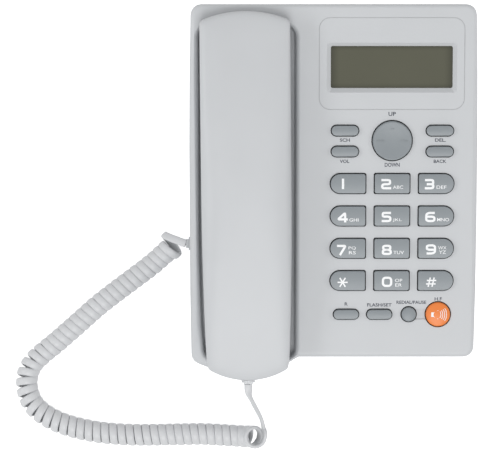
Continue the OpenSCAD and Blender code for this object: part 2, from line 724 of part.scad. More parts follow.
module loudspeaker() color(dark) translate([speaker_at[0], speaker_at[1], floor_z]) {
    cylinder(r = speaker_r, h = 2);
    translate([0, 0, 2]) cylinder(r1 = speaker_r - 1, r2 = 12, h = 5);
    translate([0, 0, 7]) cylinder(r = 11, h = 5);
}

module handsfree_microphone() color(dark) {
    translate([mic_x, front_y + wall + draft + seam_gap + 0.4, mic_z]) rotate([-90, 0, 0]) cylinder(r = 4.85, h = 6.5);
}

module line_socket() color(dark) {
    y1 = rear_y - wall - draft - 0.3;
    z0 = main_z + board_t;
    difference() {
        translate([line_x - 7, y1 - 15, z0]) cube([14, 15, 13.5]);
        translate([line_x - 5, y1 - 12, z0 + 3.2]) cube([10, 13, 7.2]);
        translate([line_x - 2, y1 - 12, z0 + 10]) cube([4, 13, 1.6]);
    }
    for (k = [-1.5 : 1.5]) translate([line_x + 1.3 * k - 0.3, y1 - 12.5, z0 + 3.2]) cube([0.6, 8, 0.5]);
}

module socket_body() {
    difference() {
        translate([0, -5.5, -socket_half]) cube([12.5, 11, 2 * socket_half]);
        translate([-1, -3.95, -3.4]) cube([12.4, 7.9, 6.8]);
    }
}

module base_handset_socket() color(dark) {
    translate([-side_x + wall + draft + side_bow, socket_y, socket_z]) socket_body();
}

module plug_body() {
    translate([-11, -3.8, -3.25]) cube([11, 7.6, 6.5]);
    translate([0, -2.6, -2]) cube([1.6, 5.2, 4]);
}

module base_plug() color([0.86, 0.87, 0.88, 0.8]) {
    translate([-side_x - 0.8, socket_y, socket_z]) mirror([1, 0, 0]) plug_body();
}

module ringer_switch() color(dark) {
    translate([side_x - 14, ringer_y - 7, main_z + board_t]) cube([7, 14, 5.6]);
}

// Knob that slides along the side wall
module ringer_knob() color(plastic) {
    translate([side_x - 7 + 0.3, ringer_y - 4.2, ringer_z - 1.4]) cube([8.3, 4, 2.8]);
}

module ballast_plate() color(metal) {
    difference() {
        translate([ballast_at[0] - 20, ballast_y[0], floor_z]) cube([40, ballast_y[1] - ballast_y[0], 3]);
        for (s = [-1, 1]) translate([ballast_at[0] + s * 12, ballast_at[1], floor_z - 1]) cylinder(r = 2.2, h = 6);
    }
}

module battery_door() color(plastic) {
    difference() {
        translate([bay[0] - door_lap, bay[1] - door_lap, foot_h])
            cube([bay[2] + 2 * door_lap, bay[3] + 2 * door_lap, door_t]);
        for (k = [0 : 3]) translate([bay[0] + 14, bay[1] + 3 + 2.4 * k, foot_h - 0.5]) cube([bay[2] - 28, 1.2, 1.1]);
    }
}

module batteries() color([0.70, 0.70, 0.72]) {
    for (k = [-1 : 1]) translate([bay[0] + 3.2, bay[1] + bay[3] / 2 + 11 * k, bay_top - cell_r - rest_gap]) rotate([0, 90, 0]) {
        cylinder(r = cell_r, h = 43.5);
        translate([0, 0, 43.4]) cylinder(r = 1.9, h = 1.1);
    }
}

module battery_contacts() color(metal) {
    for (x = [bay[0], bay[0] + bay[2] - 0.5]) translate([x, bay[1] + 2, foot_h + 4]) cube([0.5, bay[3] - 4, 9]);
    for (k = [-1 : 1]) translate([bay[0] + 0.4, bay[1] + bay[3] / 2 + 11 * k, bay_top - cell_r - rest_gap])
        rotate([0, 90, 0]) cylinder(r1 = 3.6, r2 = 2, h = 2.6);
    for (k = [-1 : 1]) translate([bay[0] + bay[2] - 4.3, bay[1] + bay[3] / 2 + 11 * k, bay_top - cell_r - rest_gap])
        rotate([0, 90, 0]) cylinder(r = 1.6, h = 4);
}

module base_screws() color(metal) {
    for (p = screw_at) translate([p[0], p[1], 0]) {
        translate([0, 0, foot_h + 0.6]) cylinder(r = 2.8, h = 2);
        translate([0, 0, foot_h + 2]) cylinder(r = screw_r, h = 14);
    }
}

module rubber_feet() color([0.25, 0.25, 0.26]) {
    for (p = foot_at) translate([p[0], p[1], 0]) cylinder(r1 = foot_r - 0.8, r2 = foot_r, h = foot_h + foot_sink);
}

// ---------- handset ----------

function back_w(s) = back_mid - back_r + sqrt(back_r * back_r - pow(s - hs_len / 2, 2));

function seam_w(s) = let (t = s / hs_len * 2 - 1) seam_mid - (t < 0 ? seam_mid - seam_tip : seam_mid - seam_ear) * t * t;

function hs_half_at(s) = hs_half - hs_taper * pow(max(0, 0.5 - s / hs_len) * 2, 2);

// Right half of the handset's outline, from the mouth end to the ear end, inset by i
function hs_side(i) = concat(
    [for (p = end_pts(-hs_half_at(0), hs_half_at(0), mouth_arc_r, hs_corner, i, 3)) if (p[0] > 0.5) p],
    [for (k = [1 : 10]) let (s = hs_len * (0.02 + 0.096 * k)) [hs_half_at(s) - i, s]],
    [for (p = turned(end_pts(-hs_half, hs_half, ear_arc_r, hs_corner, i, 3), hs_len)) if (p[0] > 0.5) p]);

function hs_outline(i) = let (h = hs_side(i)) concat(h, [for (k = [len(h) - 1 : -1 : 0]) [-h[k][0], h[k][1]]]);

// Point of the outline drawn towards the spine by the share f
function to_spine(p, f) = let (q = min(max(p[1], hs_half), hs_len - hs_half)) [p[0] * f, q + (p[1] - q) * f];

// Softness of the shoulders: tight at the ends, full round in the middle
function shoulder(s) = 7 - 3.6 * pow(sin(180 * min(max(s / hs_len, 0), 1)), 2);

function back_ring(i, f) = [for (p = hs_outline(i)) let (q = to_spine(p, f), e = shoulder(q[1]), low = seam_w(q[1]))
    [q[0], q[1], low + (back_w(q[1]) - i - low) * pow(1 - pow(f, e), 1 / e)]];

// The underside rises over the rims of the cradle at both ends
function under_w(s) = grip_under + end_rise * (1 - cos(180 * min(1, max(0, (19 - min(s, hs_len - s)) / 12)))) / 2;

function under_ring(i, f) = [for (p = hs_outline(i)) let (q = to_spine(p, f), top = seam_w(q[1]), low = min(top, under_w(q[1]) + i))
    [q[0], q[1], top - (top - low) * pow(1 - pow(f, 5), 1 / 5)]];

outer_shares = [0.45, 0.68, 0.84, 0.94, 0.985, 1];
inner_shares = [1, 0.92, 0.75, 0.5];

function upside_down(ring) = [for (p = ring) [p[0], p[1], -p[2]]];

// The two shells: one skin each, over the outside and back along the inside
module back_form() {
    mirror([0, 0, 1]) strip_loft(concat([for (f = outer_shares) upside_down(back_ring(0, f))],
        [for (f = inner_shares) upside_down(back_ring(hs_wall, f))]));
}

module under_form() {
    strip_loft(concat([for (f = outer_shares) under_ring(0, f)], [for (f = inner_shares) under_ring(hs_wall, f)]));
}

// Mouth of the cord socket, cut through both shells at the tip
module socket_mouth() {
    translate([-4.2, -1, jack_w - 3.3]) cube([8.4, hs_wall + 4, 6.6]);
}

module handset_outer_shell() color(plastic) {
    on_handset() {
        difference() {
            back_form();
            socket_mouth();
        }
        for (s = hs_screw_s) translate([0, s, 8]) difference() {
            cylinder(r = 3.2, h = back_w(s) - 9.5);
            translate([0, 0, -1]) cylinder(r = screw_r + screw_fit, h = back_w(s) - 10);
        }
    }
}

module handset_inner_shell() color(plastic) {
    on_handset() difference() {
        under_form();
        ear_place() translate([0, 0, grip_under - 1]) cylinder(r = cup_hole_r, h = hs_wall + 2);
        mouth_place() translate([0, 0, grip_under - 1]) cylinder(r = cup_hole_r, h = hs_wall + 2);
        socket_mouth();
        for (s = hs_screw_s) translate([0, s, grip_under - 1]) cylinder(r = screw_r + 0.2, h = 6);
    }
}

// Caps over the receiver and the microphone, seated on the inner shell's flat underside
module ear_cap() color(plastic) {
    on_handset() ear_place() difference() {
        cup_form(ear_d, grip_under, -ear_deep);
        cup_form(ear_d - 2 * hs_wall, grip_under + 1, hs_wall - ear_deep);
        for (r = [0, 5, 10], k = [0 : max(0, r * 1.2 - 1)]) let (a = 360 * k / max(1, r * 1.2))
            translate([r * cos(a), r * sin(a), -ear_deep - 1]) cylinder(r = 1, h = hs_wall + 2);
    }
}

module mouth_cap() color(plastic) {
    on_handset() mouth_place() difference() {
        cup_form(mouth_d, grip_under, -mouth_deep);
        cup_form(mouth_d - 2 * hs_wall, grip_under + 1, hs_wall - mouth_deep);
        for (k = [0 : 4])
            translate([3 * cos(72 * k), 3 * sin(72 * k), -mouth_deep - 1]) cylinder(r = 0.8, h = hs_wall + 2);
    }
}

module receiver() color(dark) on_handset() ear_place() {
    translate([0, 0, hs_wall - ear_deep + 1]) cylinder(r = receiver_r, h = 3);
    translate([0, 0, hs_wall - ear_deep + 4]) cylinder(r = 12, h = 5);
}

module receiver_gasket() color([0.3, 0.3, 0.3]) on_handset() ear_place() translate([0, 0, hs_wall - ear_deep])
    difference() {
        cylinder(r = receiver_r, h = 1);
        translate([0, 0, -1]) cylinder(r = receiver_r - 3, h = 3);
    }

module handset_microphone() color(dark) on_handset() mouth_place()
    translate([0, 0, hs_wall - mouth_deep]) cylinder(r = 4.85, h = 6.5);

module handset_ballast() color(metal) on_handset()
    translate([-9, hs_len / 2 - 21, grip_under + hs_wall + rest_gap]) cube([18, 42, 5]);

module handset_socket() color(dark) on_handset() translate([0, 7, jack_w]) difference() {
    translate([-5.5, 0, -3.55]) cube([11, 12.5, 7.35]);
    translate([-3.95, -1, -3.2]) cube([7.9, 12.4, 6.4]);
}

module handset_plug() color([0.86, 0.87, 0.88, 0.8]) on_handset() translate([0, -1.2, jack_w]) {
    translate([-3.8, 0, -3.05]) cube([7.6, 11, 6.1]);
    translate([-2.6, -1.2, -2]) cube([5.2, 1.2, 4]);
}

module handset_screws() color(metal) on_handset()
    for (s = hs_screw_s) translate([0, s, grip_under - 1.2]) {
        cylinder(r = 2.7, h = 1.2);
        cylinder(r = screw_r, h = 14);
    }

// ---------- cord ----------

module base_lead() color([0.83, 0.84, 0.85]) tube(base_lead_route, cable_d, 8);

module coil_cord() color([0.83, 0.84, 0.85]) tube(coil_route, coil_d, 10);

module handset_lead() color([0.83, 0.84, 0.85]) tube(handset_lead_route, cable_d, 8);

// ---------- nodes ----------

base_top_cover();
base_bottom_cover();
display_bezel();
display_window();
lcd_module();
keypad_board();
keypad_membrane();
keypad_board_screws();
main_board();
ribbon_cable();
hook_plunger();
hook_switch();
loudspeaker();
handsfree_microphone();
line_socket();
base_handset_socket();
base_plug();
ringer_switch();
ringer_knob();
ballast_plate();
battery_door();
batteries();
battery_contacts();
base_screws();
rubber_feet();
dial_key(0, 3);  // key_1
dial_key(1, 3);  // key_2
dial_key(2, 3);  // key_3
dial_key(0, 2);  // key_4
dial_key(1, 2);  // key_5
dial_key(2, 2);  // key_6
dial_key(0, 1);  // key_7
dial_key(1, 1);  // key_8
dial_key(2, 1);  // key_9
dial_key(0, 0);  // key_star
dial_key(1, 0);  // key_0
dial_key(2, 0);  // key_hash
small_key(-1, 1);  // key_search
small_key(-1, 0);  // key_volume
small_key(1, 1);  // key_delete
small_key(1, 0);  // key_back
recall_key(0);  // key_recall
recall_key(1);  // key_flash
key_redial();
key_handsfree();
nav_rocker();
handset_outer_shell();
handset_inner_shell();
ear_cap();
mouth_cap();
receiver();
receiver_gasket();
handset_microphone();
handset_ballast();
handset_socket();
handset_plug();
handset_screws();
base_lead();
coil_cord();
handset_lead();
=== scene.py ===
import math

import bmesh
import bpy
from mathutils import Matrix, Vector


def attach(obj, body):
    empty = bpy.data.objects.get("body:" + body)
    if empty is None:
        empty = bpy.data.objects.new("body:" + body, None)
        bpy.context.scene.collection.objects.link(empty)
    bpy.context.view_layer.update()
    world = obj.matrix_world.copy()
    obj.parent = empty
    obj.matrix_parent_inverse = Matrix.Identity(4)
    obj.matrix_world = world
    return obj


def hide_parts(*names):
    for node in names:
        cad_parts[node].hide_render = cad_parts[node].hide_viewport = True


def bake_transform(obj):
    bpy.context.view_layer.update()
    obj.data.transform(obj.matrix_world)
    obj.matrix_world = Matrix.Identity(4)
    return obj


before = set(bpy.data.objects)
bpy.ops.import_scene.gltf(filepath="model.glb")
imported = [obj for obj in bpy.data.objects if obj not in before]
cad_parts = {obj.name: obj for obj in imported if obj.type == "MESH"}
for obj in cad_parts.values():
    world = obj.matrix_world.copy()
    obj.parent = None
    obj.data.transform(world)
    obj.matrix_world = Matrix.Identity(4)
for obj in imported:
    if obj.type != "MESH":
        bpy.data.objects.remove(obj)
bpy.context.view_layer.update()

# ---------------------------------------------------------------------------
# View and light: a long lens straight above the phone, soft even light from
# all round with a broad lamp overhead, and a white floor that keeps the shadow.
# ---------------------------------------------------------------------------
MM = 0.001
scene = bpy.context.scene
scene.view_settings.view_transform = "Standard"

camera = bpy.data.objects.new("camera", bpy.data.cameras.new("camera"))
camera.data.lens = 172.3
camera.data.sensor_width = 36
camera.data.clip_end = 20
camera.location = (-0.0474, -0.0183, 1.4)
scene.collection.objects.link(camera)
scene.camera = camera


def lamp(name, place, target, width, length, power):
    light = bpy.data.objects.new(name, bpy.data.lights.new(name, "AREA"))
    light.data.shape = "RECTANGLE"
    light.data.size = width
    light.data.size_y = length
    light.data.energy = power
    light.location = place
    light.rotation_mode = "QUATERNION"
    light.rotation_quaternion = (Vector(target) - Vector(place)).to_track_quat("-Z", "Y")
    scene.collection.objects.link(light)
    return light


lamp("overhead", (0, -2.2, 3.7), (-0.05, 0, 0), 2.1, 2.1, 59)
lamp("left_strip", (-1.0, 0.0, 0.75), (-0.05, 0, 0), 0.9, 0.25, 2.8)
lamp("right_strip", (1.0, 0.0, 0.65), (-0.05, 0, 0), 0.9, 0.25, 1.6)

# Weak light from under the table, which shows the underside when it is looked at from below
lamp("below", (0.0, 0.0, -1.3), (0, 0, 0), 1.2, 1.2, 9)

world = bpy.data.worlds.new("surroundings")
world.use_nodes = True
scene.world = world
wn = world.node_tree.nodes
wl = world.node_tree.links
around = wn["Background"]
around.inputs["Color"].default_value = (1.0, 1.0, 1.0, 1)
around.inputs["Strength"].default_value = 0.61
backdrop = wn.new("ShaderNodeBackground")
backdrop.inputs["Color"].default_value = (1, 1, 1, 1)
ray = wn.new("ShaderNodeLightPath")
mix = wn.new("ShaderNodeMixShader")
wl.new(ray.outputs["Is Camera Ray"], mix.inputs[0])
wl.new(around.outputs[0], mix.inputs[1])
wl.new(backdrop.outputs[0], mix.inputs[2])
wl.new(mix.outputs[0], wn["World Output"].inputs["Surface"])


def node(tree, kind, **sockets):
    made = tree.nodes.new(kind)
    for name, value in sockets.items():
        made.inputs[name.replace("_", " ")].default_value = value
    return made


floor_mesh = bpy.data.meshes.new("floor")
floor_mesh.from_pydata([(-3, -3, 0), (3, -3, 0), (3, 3, 0), (-3, 3, 0)], [], [(0, 1, 2, 3)])
floor = bpy.data.objects.new("floor", floor_mesh)
scene.collection.objects.link(floor)
table_top = bpy.data.materials.new("table_top")
table_top.use_nodes = True
tree = table_top.node_tree
matt = tree.nodes["Principled BSDF"]
matt.inputs["Base Color"].default_value = (0.93, 0.93, 0.93, 1)
matt.inputs["Roughness"].default_value = 0.9
matt.inputs["Emission Color"].default_value = (1, 1, 1, 1)
seen = tree.nodes.new("ShaderNodeLightPath")
glow = tree.nodes.new("ShaderNodeMath")
glow.operation = "MULTIPLY"
glow.inputs[1].default_value = 0.55
tree.links.new(seen.outputs["Is Camera Ray"], glow.inputs[0])
tree.links.new(glow.outputs[0], matt.inputs["Emission Strength"])
under = tree.nodes.new("ShaderNodeNewGeometry")
clear_under = tree.nodes.new("ShaderNodeBsdfTransparent")
two_sides = tree.nodes.new("ShaderNodeMixShader")
either = tree.nodes.new("ShaderNodeMath")
either.operation = "MAXIMUM"
tree.links.new(under.outputs["Backfacing"], either.inputs[0])
tree.links.new(seen.outputs["Is Shadow Ray"], either.inputs[1])
tree.links.new(either.outputs[0], two_sides.inputs[0])
tree.links.new(matt.outputs[0], two_sides.inputs[1])
tree.links.new(clear_under.outputs[0], two_sides.inputs[2])
tree.links.new(two_sides.outputs[0], tree.nodes["Material Output"].inputs["Surface"])
floor_mesh.materials.append(table_top)

# ---------------------------------------------------------------------------
# Handset cord: a flat four-wire cable with a smooth light grey jacket, wound
# tightly while warm so that it springs back into a coil. Its two ends stay
# straight: one goes into the base's left side, the other up into the handset.
# ---------------------------------------------------------------------------
CABLE_W = 4.6
CABLE_T = 2.25
TURN_R = 5.3
# Extra width of the first turn and of the last, and the turns in which each dies away
FIRST_WIDER = 3.2
LAST_WIDER = 0.4
EASE_TURNS = 1.2
TURN_POINTS = 20
LEAD_POINTS = 14
# Pitch of the turns along the coil: close on the straight, drawn open in the bend
PITCHES = [(0, 5.6), (7, 4.5), (95, 4.5), (112, 5.3), (145, 5.3), (165, 4.9), (200, 4.9),
           (215, 4.65), (300, 4.65)]
COIL_ROUTE = [(-90.8, -29, 7.95), (-99, -36.5, 6.45), (-106, -42.5, 6.45), (-120, -53, 6.45),
              (-135, -64.5, 6.45), (-148, -76, 6.45), (-160, -86.5, 6.45), (-168, -93, 6.45),
              (-174, -99, 6.45), (-177, -106, 6.45), (-177, -114, 6.45), (-174, -122, 6.45),
              (-168, -128, 6.45), (-159, -133, 6.45), (-148, -136.5, 6.45), (-135, -139, 6.45),
              (-120, -140.3, 6.45), (-106, -140.5, 6.45), (-90, -140.2, 6.45), (-75, -140, 6.45),
              (-60, -140.8, 6.45), (-51.2, -141.3, 6.8), (-46.0, -141.2, 9.6), (-44.4, -141.2, 14.2)]
BASE_EXIT = (-84.45, -29, 17)
HANDSET_LEAD = [(-39.4, -136.5, 10.6), (-40.9, -130.5, 13.8), (-43.5, -125, 18.5),
                (-45.7, -120.5, 24.4), (-47.4, -116.5, 28.6), (-48.3, -112.8, 30.6), (-48.4, -109.4, 31.2)]
UP = Vector((0, 0, 1))
# The sloping face: its slope, and the place and height of its front edge
TILT = math.radians(6.5)
FRONT_Y = -94.05
FRONT_H = 26.0


def spline(points, step):
    """Points of a smooth curve through the given ones, at equal steps."""
    p = [Vector(q) for q in points]
    p = [2 * p[0] - p[1]] + p + [2 * p[-1] - p[-2]]
    fine = []
    for k in range(1, len(p) - 2):
        for i in range(24):
            t = i / 24
            a, b, c, d = p[k - 1], p[k], p[k + 1], p[k + 2]
            fine.append(0.5 * (2 * b + (c - a) * t + (2 * a - 5 * b + 4 * c - d) * t * t
                               + (3 * b - a - 3 * c + d) * t ** 3))
    fine.append(p[-2])
    along = [0.0]
    for a, b in zip(fine, fine[1:]):
        along.append(along[-1] + (b - a).length)
    count = max(2, round(along[-1] / step))
    out, k = [], 0
    for i in range(count + 1):
        want = along[-1] * i / count
        while k < len(fine) - 2 and along[k + 1] < want:
            k += 1
        t = (want - along[k]) / max(1e-9, along[k + 1] - along[k])
        out.append(fine[k].lerp(fine[k + 1], min(1, max(0, t))))
    return out, along[-1]


def smooth(t):
    t = min(1.0, max(0.0, t))
    return t * t * (3 - 2 * t)


def mesh_piece(name, verts, faces, sharp=40):
    """A new object from points in millimetres, smooth but for edges over the sharp angle."""
    data = bpy.data.meshes.new(name)
    data.from_pydata([tuple(Vector(v) * MM) for v in verts], [], faces)
    data.validate()
    data.shade_smooth()
    data.set_sharp_from_angle(angle=math.radians(sharp))
    made = bpy.data.objects.new(name, data)
    scene.collection.objects.link(made)
    return made


def strip_section():
    """Crowned outline of the flat cable: across its width and through its thickness."""
    out = []
    for k in range(16):
        c, d = math.cos(math.pi * k / 8), math.sin(math.pi * k / 8)
        across = math.copysign(abs(c) ** 0.7, c) * CABLE_W / 2
        out.append((across, math.copysign(abs(d) ** 0.85, d) * CABLE_T / 2))
    return out


def cable(name, path, normals):
    """Flat cable along path, its flat side facing the normals."""
    section, verts, faces = strip_section(), [], []
    n = len(section)
    for i, p in enumerate(path):
        t = (path[min(i + 1, len(path) - 1)] - path[max(i - 1, 0)]).normalized()
        out = (normals[i] - t * normals[i].dot(t)).normalized()
        side = t.cross(out)
        verts += [p + x * side + y * out for x, y in section]
    for i in range(len(path) - 1):
        for k in range(n):
            a, b = i * n + k, i * n + (k + 1) % n
            faces.append((a, b, b + n, a + n))
    faces.append(tuple(range(n - 1, -1, -1)))
    faces.append(tuple(range((len(path) - 1) * n, len(path) * n)))
    return mesh_piece(name, verts, faces, 60)


axis, axis_length = spline(COIL_ROUTE, 0.5)
step = axis_length / (len(axis) - 1)
turn_at = [0.0]
for k in range(len(axis) - 1):
    here = (k + 0.5) * step
    (begin, first), (end, last) = [pair for pair in zip(PITCHES, PITCHES[1:]) if pair[0][0] <= here][-1]
    turn_at.append(turn_at[-1] + step / (first + (last - first) * min(1, (here - begin) / (end - begin))))
turns = round(turn_at[-1] - 0.5) + 0.5
turn_at = [t * turns / turn_at[-1] for t in turn_at]
steps = int(turns * TURN_POINTS)
coil_path, coil_out, reached = [], [], 0
side = (axis[4] - axis[0]).cross(UP).normalized()
for i in range(steps + 1):
    turn = turns * i / steps
    while reached < len(axis) - 2 and turn_at[reached + 1] < turn:
        reached += 1
    k = reached
    centre = axis[k].lerp(axis[k + 1], min(1, (turn - turn_at[k]) / (turn_at[k + 1] - turn_at[k])))
    a = (axis[min(k + 4, len(axis) - 1)] - axis[max(k - 4, 0)]).normalized()
    s = side = (side - a * side.dot(a)).normalized()
    up = s.cross(a)
    left = turns - turn
    phi = math.radians(270) + turn * 2 * math.pi
    swell = LAST_WIDER * smooth(1 - left / EASE_TURNS)
    wide = TURN_R + FIRST_WIDER * (1 - smooth(turn / EASE_TURNS)) + swell
    tall = TURN_R + swell
    out = math.cos(phi) * s - math.sin(phi) * up
    coil_path.append(centre + wide * math.cos(phi) * s - tall * math.sin(phi) * up)
    coil_out.append(out)
coil_path, coil_out = coil_path[4:], coil_out[4:]
# A smooth curve from the base's plug into the first turn
start, join = Vector(BASE_EXIT), coil_path[0]
out_of_plug = Vector((-12, 4, -2))
into_coil = (coil_path[1] - coil_path[0]).normalized() * 10
lead_in = []
for k in range(LEAD_POINTS):
    t = k / LEAD_POINTS
    lead_in.append((2 * t ** 3 - 3 * t * t + 1) * start + (t ** 3 - 2 * t * t + t) * out_of_plug
                   + (3 * t * t - 2 * t ** 3) * join + (t ** 3 - t * t) * into_coil)
cord_path = lead_in + coil_path
cord_out = [UP.lerp(coil_out[0], k / LEAD_POINTS) for k in range(LEAD_POINTS)] + coil_out
cord_end = cord_path[-1]
coil_cable = cable("coil_cable", cord_path, cord_out)

onward = (cord_path[-1] - cord_path[-2]).normalized()
lead_path = spline([tuple(cord_end), tuple(cord_end + 1.8 * onward)] + HANDSET_LEAD, 0.7)[0]
lead_out = []
for i, p in enumerate(lead_path):
    t = smooth((i / (len(lead_path) - 1) - 0.72) / 0.28)
    lead_out.append((coil_out[-1] * (1 - t) + (UP + Vector((0, -0.25, 0))) * t).normalized())
lead_cable = cable("lead_cable", lead_path, lead_out)


def fine_surface():
    """Faint tone variation and a fine grain for any moulded or pressed surface."""
    group = bpy.data.node_groups.new("fine_surface", "ShaderNodeTree")
    side = group.interface
    for name, kind in (("Color", "Color"), ("Roughness", "Float"), ("Variation", "Float"),
                       ("Grain", "Float"), ("Depth", "Float")):
        side.new_socket(name, in_out="INPUT", socket_type="NodeSocket" + kind)
    for name, kind in (("Color", "Color"), ("Roughness", "Float"), ("Normal", "Vector")):
        side.new_socket(name, in_out="OUTPUT", socket_type="NodeSocket" + kind)
    put = group.links.new
    given = group.nodes.new("NodeGroupInput")
    made = group.nodes.new("NodeGroupOutput")
    place = group.nodes.new("ShaderNodeTexCoord")
    broad = node(group, "ShaderNodeTexNoise", Scale=45.0, Detail=3.0, Roughness=0.5)
    fine = node(group, "ShaderNodeTexNoise", Detail=2.0, Roughness=0.6)
    put(place.outputs["Object"], broad.inputs["Vector"])
    put(place.outputs["Object"], fine.inputs["Vector"])
    put(given.outputs["Grain"], fine.inputs["Scale"])
    centred = group.nodes.new("ShaderNodeMath")
    centred.operation = "SUBTRACT"
    centred.inputs[1].default_value = 0.5
    put(broad.outputs[0], centred.inputs[0])
    amount = group.nodes.new("ShaderNodeMath")
    amount.operation = "MULTIPLY_ADD"
    amount.inputs[2].default_value = 1.0
    put(centred.outputs[0], amount.inputs[0])
    put(given.outputs["Variation"], amount.inputs[1])
    tone = group.nodes.new("ShaderNodeVectorMath")
    tone.operation = "SCALE"
    put(given.outputs["Color"], tone.inputs[0])
    put(amount.outputs[0], tone.inputs["Scale"])
    put(tone.outputs[0], made.inputs["Color"])
    rough = group.nodes.new("ShaderNodeMath")
    rough.operation = "MULTIPLY"
    put(given.outputs["Roughness"], rough.inputs[0])
    put(amount.outputs[0], rough.inputs[1])
    put(rough.outputs[0], made.inputs["Roughness"])
    relief = node(group, "ShaderNodeBump", Strength=0.6)
    put(given.outputs["Depth"], relief.inputs["Distance"])
    put(fine.outputs[0], relief.inputs["Height"])
    put(relief.outputs[0], made.inputs["Normal"])
    return group


SURFACE = fine_surface()
# Painted shade in the gaps round the keys: depths between which they are painted darker, and the field that
# holds them
GAP_DEEP = -1.9
GAP_SHALLOW = -0.8
FIELD_X = 33.0
FIELD_Y = -13.0
FIELD_HALF = (41.0, 70.0)


def gap_shade():
    """Mask of painted shade: 1 in the open and 0 deep in the narrow gaps round the keys, where little light
    comes.
    """
    group = bpy.data.node_groups.new("gap_shade", "ShaderNodeTree")
    group.interface.new_socket("Light", in_out="OUTPUT", socket_type="NodeSocketFloat")
    made = group.nodes.new("NodeGroupOutput")
    place = group.nodes.new("ShaderNodeTexCoord")
    split = group.nodes.new("ShaderNodeSeparateXYZ")
    group.links.new(place.outputs["Object"], split.inputs[0])

    def maths(kind, a, b, c=None):
        one = group.nodes.new("ShaderNodeMath")
        one.operation = kind
        for socket, value in zip(one.inputs, (a, b, c)):
            if isinstance(value, (int, float)):
                socket.default_value = value
            elif value is not None:
                group.links.new(value, socket)
        return one.outputs[0]

    def ramp(value, low, high):
        one = group.nodes.new("ShaderNodeMapRange")
        one.interpolation_type = "SMOOTHSTEP"
        group.links.new(value, one.inputs["Value"])
        one.inputs["From Min"].default_value = low
        one.inputs["From Max"].default_value = high
        return one.outputs[0]

    x, y, z = split.outputs
    rise = maths("MULTIPLY", maths("SUBTRACT", y, FRONT_Y * MM), -math.sin(TILT))
    above = maths("MULTIPLY_ADD", maths("SUBTRACT", z, FRONT_H * MM), math.cos(TILT), rise)
    open_to_sky = ramp(above, GAP_DEEP * MM, GAP_SHALLOW * MM)
    keypad = maths("MULTIPLY", maths("COMPARE", x, FIELD_X * MM, FIELD_HALF[0] * MM),
                   maths("COMPARE", y, FIELD_Y * MM, FIELD_HALF[1] * MM))
    shaded = maths("MULTIPLY", keypad, maths("SUBTRACT", 1.0, open_to_sky))
    group.links.new(maths("SUBTRACT", 1.0, shaded), made.inputs[0])
    return group


SHADE = gap_shade()


def finish_of(name, colour, roughness, variation=0.12, grain=2600.0, depth=0.00002,
              metallic=0.0, gaps=False, **more):
    """Material of one colour with the fine surface on it, with painted shade in the gaps if asked."""
    made = bpy.data.materials.new(name)
    made.use_nodes = True
    tree = made.node_tree
    shader = tree.nodes["Principled BSDF"]
    detail = tree.nodes.new("ShaderNodeGroup")
    detail.node_tree = SURFACE
    detail.inputs["Color"].default_value = (*colour, 1)
    detail.inputs["Roughness"].default_value = roughness
    detail.inputs["Variation"].default_value = variation
    detail.inputs["Grain"].default_value = grain
    detail.inputs["Depth"].default_value = depth
    tree.links.new(detail.outputs["Color"], shader.inputs["Base Color"])
    # Painted shade: the colour goes towards near black deep in the gaps round the keys
    if gaps:
        light = tree.nodes.new("ShaderNodeGroup")
        light.node_tree = SHADE
        painted_shade = tree.nodes.new("ShaderNodeMix")
        painted_shade.data_type = "RGBA"
        painted_shade.inputs["A"].default_value = (0.02, 0.02, 0.022, 1)
        tree.links.new(light.outputs["Light"], painted_shade.inputs["Factor"])
        tree.links.new(detail.outputs["Color"], painted_shade.inputs["B"])
        tree.links.new(painted_shade.outputs["Result"], shader.inputs["Base Color"])
    tree.links.new(detail.outputs["Roughness"], shader.inputs["Roughness"])
    tree.links.new(detail.outputs["Normal"], shader.inputs["Normal"])
    shader.inputs["Metallic"].default_value = metallic
    for socket, value in more.items():
        shader.inputs[socket.replace("_", " ")].default_value = value
    return made


def paint(thing, material):
    thing.data.materials.clear()
    thing.data.materials.append(material)


jacket = finish_of("cord_jacket", (0.62, 0.63, 0.645), 0.38, 0.08, 1500.0, 0.00001)
for thing in (coil_cable, lead_cable):
    paint(thing, jacket)
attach(coil_cable, "base")
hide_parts("base_lead", "coil_cord")
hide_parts("handset_lead")
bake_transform(lead_cable)

# ---------------------------------------------------------------------------
# Base covers: two injection-moulded ABS shells in light grey, with a fine
# even texture. The top one carries the cradle; they meet in a groove all round.
# ---------------------------------------------------------------------------
SHELL_GREY = (0.565, 0.580, 0.597)


def on_face(u, v, w=0.0):
    """Point of the sloping face: right, up the slope and out of it, in millimetres."""
    y = FRONT_Y + v * math.cos(TILT) - w * math.sin(TILT)
    return Vector((u, y, FRONT_H + v * math.sin(TILT) + w * math.cos(TILT)))


def dress(name, material, edge=0.25, sharp=35):
    """Material and softly rounded edges on one of the frame's pieces."""
    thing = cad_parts[name]
    paint(thing, material)
    thing.data.shade_smooth()
    weld = thing.modifiers.new("weld", "WELD")
    weld.merge_threshold = 0.000002
    plain = thing.modifiers.new("plain", "DECIMATE")
    plain.decimate_type = "DISSOLVE"
    plain.angle_limit = math.radians(0.6)
    if edge:
        soft = thing.modifiers.new("soft", "BEVEL")
        soft.width = edge * MM
        soft.segments = 2
        soft.limit_method = "ANGLE"
        soft.angle_limit = math.radians(sharp)
        soft.use_clamp_overlap = True
        soft.harden_normals = False
    even = thing.modifiers.new("even", "WEIGHTED_NORMAL")
    even.keep_sharp = True
    return thing


shell = finish_of("shell_plastic", SHELL_GREY, 0.42, 0.05, 2200.0, 0.000012)
# The face's material carries painted shade on the walls of the key openings
shell_face = finish_of("shell_face_plastic", SHELL_GREY, 0.42, 0.05, 2200.0, 0.000012, 0.0, True)
dress("base_top_cover", shell_face, 0.25)
dress("base_bottom_cover", shell, 0)

